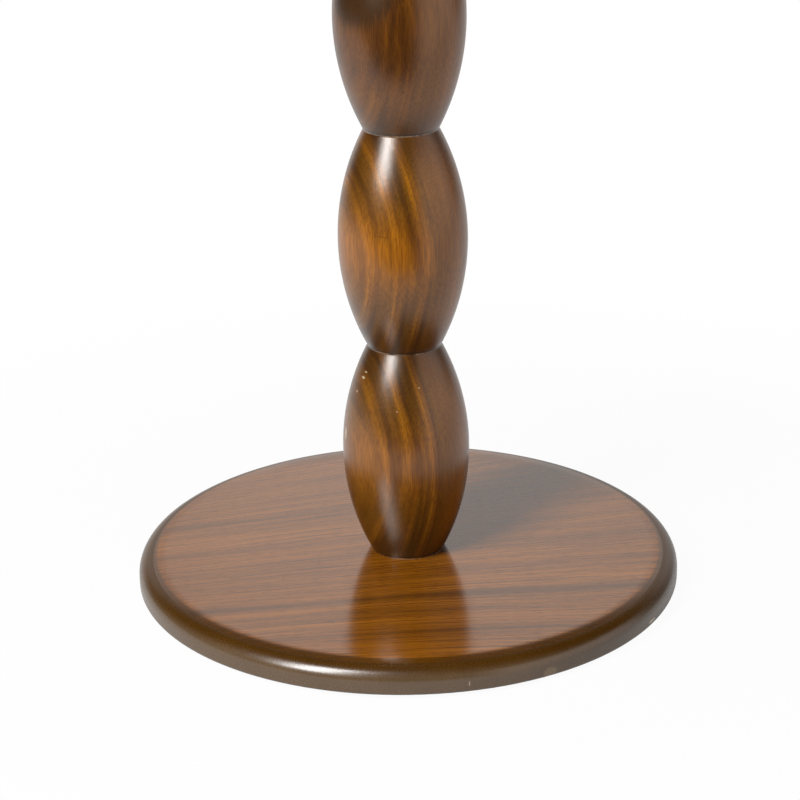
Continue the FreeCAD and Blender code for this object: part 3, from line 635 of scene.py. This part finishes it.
highlight_breaks = add_node(tree, "MapRange", {"Value": blotch, **ARRIS_HIGHLIGHT_BREAKS})
arris_highlight_line = add_node(tree, "Math", {0: arris_highlight, 1: highlight_breaks}, operation="MULTIPLY")
neck_highlighted = add_node(tree, "Mix", {"Factor": arris_highlight_line, "A": groove_shaded, "B": linear(ARRIS_PAINTED_HIGHLIGHT)}, **BLEND)
worn_and_shaded_tone = wear_and_shade(tree, place, neck_highlighted, fibre, COLUMN_WEAR_AND_SHADE)
lathe_place = add_node(tree, "Mapping", {"Vector": place, "Scale": per(*LATHE_SIZE)})
lathe = add_node(tree, "TexNoise", {"Vector": lathe_place, "Scale": 1.0, "Detail": 2.0})
shimmer = add_node(tree, "MapRange", {"Value": fibre, **COLUMN_SHEEN})
sanding_rings = add_node(tree, "Bump", {"Height": lathe, **LATHE_RELIEF})
raised_fibre = add_node(tree, "Bump", {"Height": fibre, "Normal": sanding_rings, **FIBRE_RELIEF})
set_inputs(tree, shader, {"Base Color": worn_and_shaded_tone, "Roughness": shimmer, "Coat Normal": raised_fibre,
                          "IOR": 1.5, "Specular IOR Level": 0.2, "Specular Tint": linear(GOLD_LUSTRE),
                          "Coat Weight": 1.0, "Coat IOR": 1.57, "Coat Roughness": 0.24})

# Each bobbin is one arc, tangent to the fillets of the necks below and above it.
swell = BEAD_RADIUS - NECK_RADIUS
bead_arc = (BEAD_PITCH ** 2 / 4 + swell ** 2) / (2 * swell)
arc_middle = BEAD_RADIUS - bead_arc
fillet_middle = arc_middle + math.sqrt((bead_arc + NECK_FILLET) ** 2 - BEAD_PITCH ** 2 / 4)
bead_turn = math.degrees(math.asin(BEAD_PITCH / 2 / (bead_arc + NECK_FILLET)))
column_head = base_head + BEAD_COUNT * BEAD_PITCH
bore = ((TAP_BORE, BORE_DEPTH), (TAP_BORE, INSERT_DEPTH), (INSERT_BORE, INSERT_DEPTH), (INSERT_BORE, 0))
shape, tip = start_outline(0, base_head + BORE_DEPTH)
for radius, depth in bore:
    tip = draw_to(shape, tip, radius, base_head + depth)
tip = draw_to(shape, tip, fillet_middle - NECK_FILLET, base_head)
for bead in range(BEAD_COUNT):
    bead_foot = base_head + bead * BEAD_PITCH
    tip = draw_round(shape, tip, fillet_middle, bead_foot, -bead_turn, FILLET_STEPS)
    tip = draw_round(shape, tip, arc_middle, bead_foot + BEAD_PITCH / 2, 2 * bead_turn, BEAD_STEPS)
    tip = draw_round(shape, tip, fillet_middle, bead_foot + BEAD_PITCH, -bead_turn, FILLET_STEPS)
for radius, depth in reversed(bore):
    tip = draw_to(shape, tip, radius, column_head - depth)
draw_to(shape, tip, 0, column_head - BORE_DEPTH)
column = turn_outline("bobbin_column", shape, COLUMN_SIDES, COLUMN_ARRIS)
column.data.materials.append(turned_wood)
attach(column, "root")
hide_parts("column")


# Mounting plate: a 4 mm steel disc on the head of the column, powder coated black.
# A countersunk bolt holds it to the column, and four wood screws hold the tabletop to it.
POWDER_GRAIN = 0.8
POWDER_TONES = ((0.3, "161514"), (0.7, "2b2927"))
POWDER_RELIEF = {"Strength": 0.4, "Distance": 0.1 * MM}

# Powder-coated steel: near black, finely pebbled and half matt.
powder_coat, tree, shader, place = start_finish("black_powder_coated_steel")
pebble = add_node(tree, "TexNoise", {"Vector": place, "Scale": 1 / POWDER_GRAIN, "Detail": 3.0})
powder_tone = add_node(tree, "ValToRGB", {"Fac": pebble}, stops=POWDER_TONES)
pebbled = add_node(tree, "Bump", {"Height": pebble, **POWDER_RELIEF})
set_inputs(tree, shader, {"Base Color": powder_tone, "Normal": pebbled, "Roughness": 0.5})
coat_node("mounting_plate", powder_coat)


# Plate bolt and screws: a countersunk M8 bolt from above and four wood screws from below, zinc plated.
# Their heads lie flush in the plate, so the board sits flat on it.
for steel_node in ("plate_bolt", "plate_screws"):
    coat_node(steel_node, zinc)


# Tabletop: the same board as the plinth, 50 mm wider, with no hole through its walnut face.
# It is built as the plinth is, core between two veneers with a run-round edge, and screwed on from below.
TOP_RADIUS = BASE_RADIUS + TOP_OVERHANG
TOP_LEVEL = 501.0
coat_node("top_back_veneer", back_veneer)

core_foot = TOP_LEVEL + VENEER_THICKNESS
core_head = core_foot + CORE_THICKNESS
top_head = core_head + VENEER_THICKNESS
shape, first = start_outline(0, core_foot)
tip = draw_rim(shape, first, TOP_RADIUS, TOP_LEVEL, top_head)
draw_to(shape, tip, 0, core_head)
top_core = turn_outline("top_core_disc", shape, BOARD_SIDES)
top_core.data.materials.append(toned_mdf)
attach(top_core, "root")
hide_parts("top_panel")

shape, first = start_outline(0, core_head)
tip = draw_face(shape, first, TOP_RADIUS, core_head, top_head)
draw_to(shape, tip, 0, top_head)
top_face = turn_outline("top_walnut_face", shape, BOARD_SIDES)
top_face.data.materials.append(walnut)
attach(top_face, "root")
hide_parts("top_face_veneer")


# Floor: white studio paper that the table stands on, from just in front of it to well behind.
# The camera sees it white, and gloss partly so; it keeps a faint shadow of the table.
# From here on, sizes and places are in metres.
FLOOR_LEVEL = -0.0002
FLOOR_FRONT = -0.38
FLOOR_BACK = 1.6
FLOOR_HALF_WIDTH = 1.5
FLOOR_WHITE = "d2d2d2"
FLOOR_GLOW = 1.0
PURE_WHITE = "ffffff"
MIRROR_SHARE = 0.5
SHADOW_LIMITS = {"From Min": 0.18, "From Max": 0.55, "To Min": 0.96, "To Max": 1.0}  # from the axis

paper, tree, shader, place = start_finish("white_studio_paper")
tree.nodes.remove(shader)
metres = add_node(tree, "VectorMath", {0: place, 1: (MM, MM, 0.0)}, operation="MULTIPLY")
distance = add_node(tree, "VectorMath", {0: metres}, operation="LENGTH")
shadow_share = add_node(tree, "MapRange", {"Value": distance, **SHADOW_LIMITS}, **EASED)
ray = add_node(tree, "LightPath").outputs
seen = add_node(tree, "Math", {0: ray["Is Camera Ray"], 1: shadow_share}, operation="MULTIPLY")
mirrored = add_node(tree, "Math", {0: ray["Is Glossy Ray"], 1: ray["Is Transmission Ray"]},
                    operation="MAXIMUM")
dimmed = add_node(tree, "Math", {0: mirrored, 1: MIRROR_SHARE}, operation="MULTIPLY")
white_share = add_node(tree, "Math", {0: seen, 1: dimmed}, operation="MAXIMUM")
paper_matt = add_node(tree, "BsdfDiffuse", {"Color": linear(FLOOR_WHITE)})
paper_white = add_node(tree, "Emission", {"Color": linear(PURE_WHITE), "Strength": FLOOR_GLOW})
paper_look = add_node(tree, "MixShader", {0: white_share, 1: paper_matt, 2: paper_white})
set_inputs(tree, tree.nodes["Material Output"], {"Surface": paper_look})

shape = bmesh.new()
bmesh.ops.create_grid(shape, x_segments=1, y_segments=1, size=1.0)
bmesh.ops.scale(shape, verts=shape.verts[:], vec=(FLOOR_HALF_WIDTH, (FLOOR_BACK - FLOOR_FRONT) / 2, 1))
bmesh.ops.translate(shape, verts=shape.verts[:], vec=(0, (FLOOR_BACK + FLOOR_FRONT) / 2, FLOOR_LEVEL))
floor = finish_mesh("studio_floor", shape)
floor.data.materials.append(paper)


# Studio light: one large softbox at the front left, a white backdrop, a white card on the right
# and a low sweep of white paper at the left.
# The room on the camera side is dark, so the lacquer stays deep there.
KEY_BEARING = -42.0
KEY_ELEVATION = 36.5
KEY_DISTANCE = 1.45
KEY_WIDTH = 0.44
KEY_HEIGHT = 0.95
KEY_POWER = 33.5
LIGHT_TARGET = Vector((0, 0, 0.2))
ROOM_STRENGTH = 1.25
ROOM_WHITE = "fff5f0"
ROOM_TONES = (
    # bearing in degrees from the camera side, positive to the right, and share of white there
    (-180, 1.0), (-176, 0.82), (-171, 0.36), (-160, 0.38), (-150, 0.22), (-140, 0.06), (-130, 0.01),
    (26, 0.01), (32, 0.2), (38, 0.8), (46, 1.0), (76, 1.0), (92, 0.8), (102, 0.45), (110, 0.1), (126, 0.05),
    (134, 0.15), (144, 0.3), (156, 0.45), (169, 0.4), (175, 0.76), (180, 1.0),
)
SWEEP_TONES = (
    # bearing in degrees, and share of white in the low sweep of paper at the left
    (-180, 0.9), (-154, 0.75), (-146, 0.45), (-138, 0.2), (-128, 0.0),
)
SWEEP_LIMITS = {"From Min": 0.30, "From Max": 0.10}  # upward part of the direction
CEILING_LIMITS = {"From Min": 0.482, "From Max": 0.528, "To Min": 1.0, "To Max": 0.02}  # upward part

bearing, elevation = math.radians(KEY_BEARING), math.radians(KEY_ELEVATION)
towards_key = Vector((math.sin(bearing) * math.cos(elevation), -math.cos(bearing) * math.cos(elevation),
                      math.sin(elevation)))
key_light = bpy.data.lights.new("key_softbox", "AREA")
key_light.shape = "RECTANGLE"
key_light.size = KEY_WIDTH
key_light.size_y = KEY_HEIGHT
key_light.energy = KEY_POWER
key = bpy.data.objects.new("key_softbox", key_light)
key.location = LIGHT_TARGET + towards_key * KEY_DISTANCE
key.rotation_mode = "QUATERNION"
key.rotation_quaternion = (-towards_key).to_track_quat("-Z", "Y")
key.visible_camera = False
bpy.context.scene.collection.objects.link(key)

room = bpy.data.worlds.new("studio_room")
room.use_nodes = True
bpy.context.scene.world = room
tree = room.node_tree
tree.nodes.clear()
towards = add_node(tree, "TexCoord").outputs["Generated"]
right, back, up = add_node(tree, "SeparateXYZ", {0: towards}).outputs
front = add_node(tree, "Math", {0: back, 1: -1.0}, operation="MULTIPLY")
turn = add_node(tree, "Math", {0: right, 1: front}, operation="ARCTAN2")
turn_share = add_node(tree, "MapRange", {"Value": turn, "From Min": -math.pi, "From Max": math.pi})
wall_stops = [((degrees + 180) / 360, tone) for degrees, tone in ROOM_TONES]
walls = add_node(tree, "ValToRGB", {"Fac": turn_share}, stops=wall_stops)
below_ceiling = add_node(tree, "MapRange", {"Value": up, **CEILING_LIMITS}, **EASED)
high_white = add_node(tree, "Math", {0: walls, 1: below_ceiling}, operation="MULTIPLY")
sweep_stops = [((degrees + 180) / 360, tone) for degrees, tone in SWEEP_TONES]
sweep = add_node(tree, "ValToRGB", {"Fac": turn_share}, stops=sweep_stops)
in_sweep = add_node(tree, "MapRange", {"Value": up, **SWEEP_LIMITS}, **EASED)
low_white = add_node(tree, "Math", {0: sweep, 1: in_sweep}, operation="MULTIPLY")
white_there = add_node(tree, "Math", {0: high_white, 1: low_white}, operation="MAXIMUM")
room_strength = add_node(tree, "Math", {0: white_there, 1: ROOM_STRENGTH}, operation="MULTIPLY")
room_light = add_node(tree, "Background", {"Color": linear(ROOM_WHITE), "Strength": room_strength})
ray = add_node(tree, "LightPath").outputs
glossy = ray["Is Glossy Ray"]
paper_tone = add_node(tree, "Mix", {"Factor": glossy, "A": linear(PURE_WHITE), "B": linear(ROOM_WHITE)},
                      **BLEND)
white_view = add_node(tree, "Background", {"Color": paper_tone, "Strength": 1.0})
straight = add_node(tree, "Math", {0: ray["Is Camera Ray"], 1: ray["Is Transmission Ray"]},
                    operation="MAXIMUM")
mirrored = add_node(tree, "Math", {0: glossy, 1: white_there}, operation="MULTIPLY")
white_share = add_node(tree, "Math", {0: straight, 1: mirrored}, operation="MAXIMUM")
room_look = add_node(tree, "MixShader", {0: white_share, 1: room_light, 2: white_view})
add_node(tree, "OutputWorld", {"Surface": room_look})


# Camera: a short telephoto from the front, above the plinth, cut off in the third bobbin.
# Its place and its angles, in radians, were fitted to the outline of the table in the photo.
# Lens and sensor are in millimetres.
LENS = 109.09
SENSOR = 36.0
CAMERA_PLACE = (0.0, -1.2328, 0.5892)
CAMERA_PITCH = 0.37517
CAMERA_YAW = -0.00242
CAMERA_ROLL = -0.01701

view_camera = bpy.data.cameras.new("photo_camera")
view_camera.lens = LENS
view_camera.sensor_width = SENSOR
camera = bpy.data.objects.new("photo_camera", view_camera)
camera.matrix_world = (Matrix.Translation(CAMERA_PLACE) @ Matrix.Rotation(-CAMERA_YAW, 4, "Z")
                       @ Matrix.Rotation(math.pi / 2 - CAMERA_PITCH, 4, "X")
                       @ Matrix.Rotation(CAMERA_ROLL, 4, "Z"))
bpy.context.scene.collection.objects.link(camera)
bpy.context.scene.camera = camera
bpy.context.scene.view_settings.view_transform = "Standard"
